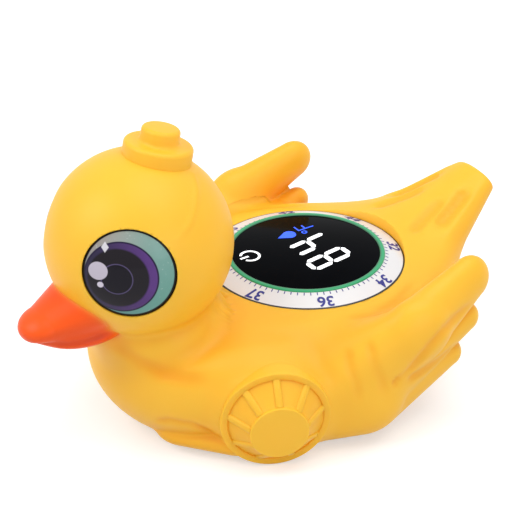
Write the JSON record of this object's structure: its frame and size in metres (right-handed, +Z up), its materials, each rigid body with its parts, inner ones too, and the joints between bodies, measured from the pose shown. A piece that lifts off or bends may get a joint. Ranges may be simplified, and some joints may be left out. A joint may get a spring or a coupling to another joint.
{
  "type": "baby bath thermometer",
  "caption": "Floating duck bath thermometer in soft yellow vinyl with orange beak, drum-shaped shoulders, winged arms and a sealed capsule whose round LED display shows through its back.",
  "frame": {"origin": "centre of the bounding box in plan, on the plane the duck stands on", "axes": "+X duck's left, +Y towards the tail, the duck faces -Y, +Z up"},
  "size_m": [0.0772, 0.1164, 0.0676],
  "materials": {
    "yellow_vinyl": "satin soft moulded vinyl",
    "orange_vinyl": "satin soft moulded vinyl",
    "eye_print": "printed disc",
    "clear_lens": "clear polished dome",
    "white_film": "printed film",
    "green_light_guide": "dark green light guide",
    "smoked_window": "smoked polished window",
    "black_plastic": "fine texture",
    "ivory_plastic": "fine texture",
    "green_laminate": "solder mask",
    "black_epoxy": "moulded epoxy",
    "black_rubber": "soft sealing rubber",
    "stainless_steel": "plain stainless",
    "nickel": "nickel plated"
  },
  "bodies": {
    "root": {"battery_door": "ivory_plastic", "battery_holder": "black_plastic", "beak": "orange_vinyl", "board_screw_1": "stainless_steel", "board_screw_2": "stainless_steel", "board_screw_3": "stainless_steel", "body_shell": "yellow_vinyl", "button_cell_1": "stainless_steel", "button_cell_2": "stainless_steel", "circuit_board": "green_laminate", "contact_negative": "nickel", "contact_positive": "nickel", "controller_chip": "black_epoxy", "display_window": "smoked_window", "door_screw_left": "stainless_steel", "door_screw_right": "stainless_steel", "door_seal": "black_rubber", "eye_dome_left": "clear_lens", "eye_dome_right": "clear_lens", "eye_print_left": "eye_print", "eye_print_right": "eye_print", "housing_base": "ivory_plastic", "housing_seal": "black_rubber", "housing_top": "ivory_plastic", "indicator_led_1": "white_film", "indicator_led_2": "white_film", "indicator_led_3": "white_film", "indicator_led_4": "white_film", "indicator_led_5": "white_film", "indicator_led_6": "white_film", "indicator_ring": "green_light_guide", "label_ring": "white_film", "led_display": "black_plastic", "probe_seal": "black_rubber", "sensor_probe": "stainless_steel", "thermistor": "black_epoxy", "touch_spring": "nickel"}
  },
  "joints": []
}
